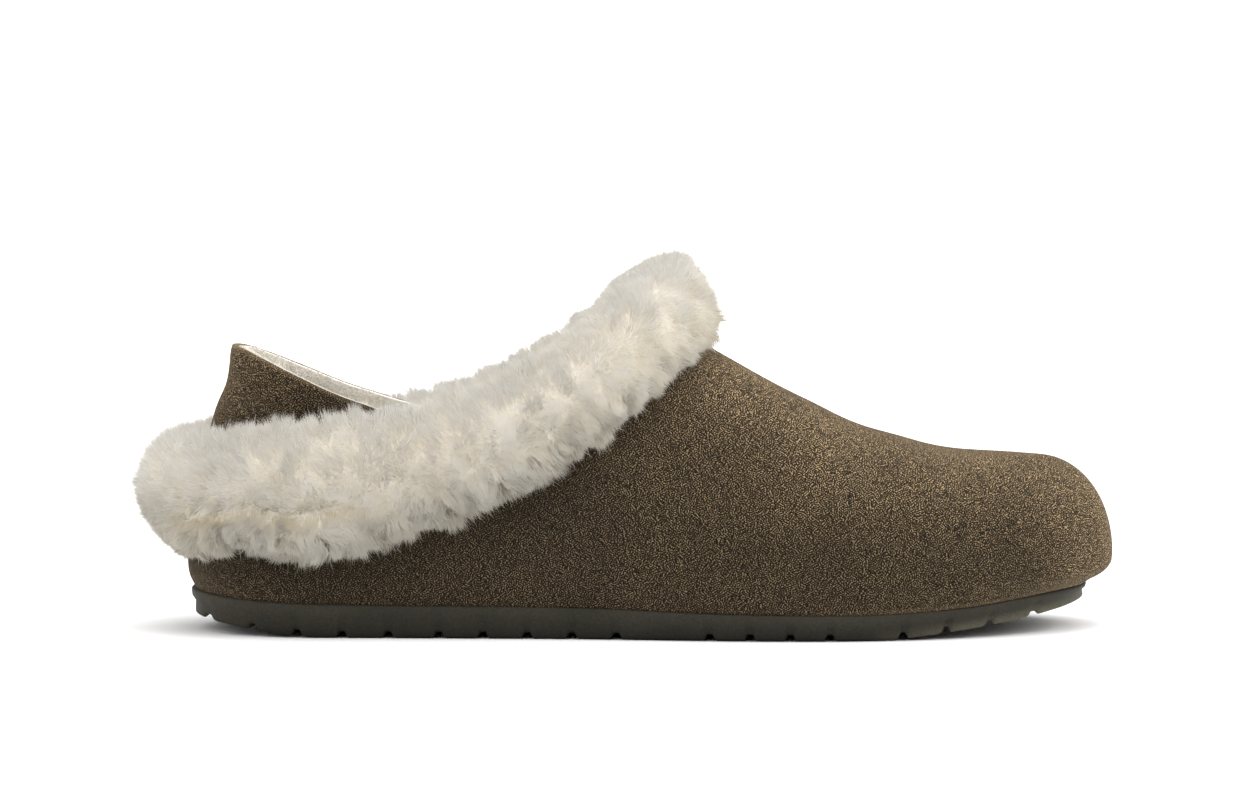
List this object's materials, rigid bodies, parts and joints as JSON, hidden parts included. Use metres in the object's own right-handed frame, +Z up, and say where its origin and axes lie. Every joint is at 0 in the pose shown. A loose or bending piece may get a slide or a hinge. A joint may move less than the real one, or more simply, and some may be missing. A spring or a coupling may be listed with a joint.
{
  "type": "closed-toe suede clog slipper with shearling cuff, right foot",
  "caption": "Taupe suede clog slipper for the right foot with a deep cream shearling cuff, standing heel back, shearling footbed and a dark grooved rubber outsole.",
  "frame": {"origin": "middle of the whole shoe's box on the floor plane under the outsole", "axes": "+X from heel to toe, +Y to the inner side of the foot, +Z up"},
  "size_m": [0.2884, 0.099, 0.1074],
  "materials": {
    "rubber": "matte",
    "footbed_shearling": "napped",
    "suede": "napped",
    "shearling": "napped"
  },
  "bodies": {
    "root": {"outsole": "rubber", "footbed": "footbed_shearling", "upper": "suede", "cuff": "shearling"}
  },
  "joints": []
}
